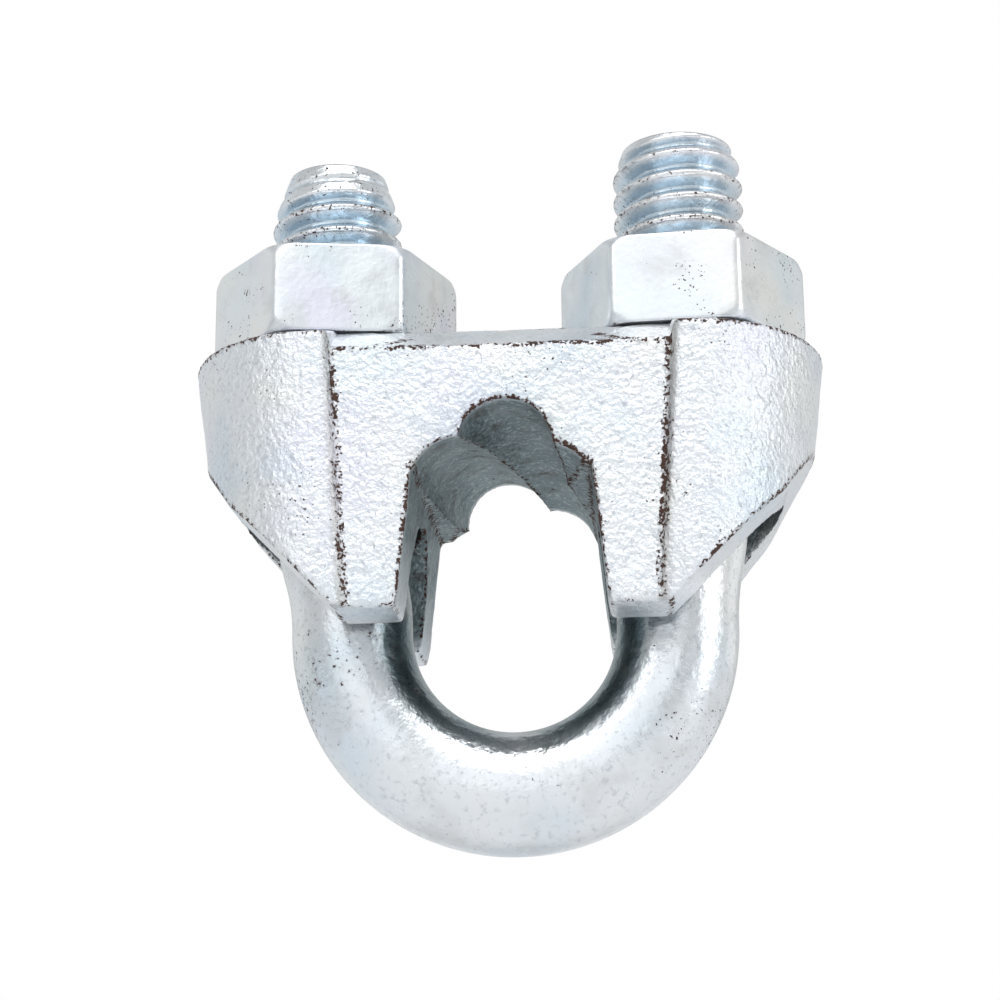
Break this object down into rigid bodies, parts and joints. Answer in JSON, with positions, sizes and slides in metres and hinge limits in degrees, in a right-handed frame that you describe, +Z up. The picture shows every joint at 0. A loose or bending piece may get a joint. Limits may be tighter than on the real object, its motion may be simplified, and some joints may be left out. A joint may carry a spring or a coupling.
{
  "type": "wire rope clip",
  "caption": "Cast saddle with a strand-grooved rope channel, clamped to a rope by a threaded U-bolt and hex nuts.",
  "frame": {"origin": "middle of the clamped rope, halfway along the saddle, 10.2 mm under the nut seats", "axes": "+Y along the rope through the channel, +Z up along the bolt's legs towards the nuts, +X from the shorter leg to the taller leg"},
  "size_m": [0.0372, 0.0198, 0.0423],
  "materials": {
    "saddle_casting": "as-cast and zinc plated, with light rust on its edges",
    "bolt_steel": "zinc-plated round bar with cut threads",
    "nut_steel": "satin zinc plating"
  },
  "bodies": {
    "saddle": {"saddle": "saddle_casting"},
    "u_bolt": {"u_bolt": "bolt_steel"},
    "nut_left": {"nut_left": "nut_steel"},
    "nut_right": {"nut_right": "nut_steel"}
  },
  "joints": [
    {"name": "nut_left_spin", "type": "hinge", "parent": "saddle", "child": "nut_left", "pos_m": [-0.0104, 0, 0.0102], "axis": [0, 0, -1], "range_deg": [-1620, 1650]},
    {"name": "nut_right_spin", "type": "hinge", "parent": "saddle", "child": "nut_right", "pos_m": [0.0104, 0, 0.0102], "axis": [0, 0, -1], "range_deg": [-1620, 1650]},
    {"name": "u_bolt_slide", "type": "slide", "parent": "saddle", "child": "u_bolt", "axis": [0, 0, 1], "range_m": [-0.00636, 0.00648]}
  ],
  "couplings": [
    {"joint": "nut_right_spin", "follows": "nut_left_spin", "ratio": 1},
    {"joint": "u_bolt_slide", "follows": "nut_left_spin", "m_per_rad": 0.00022458}
  ]
}
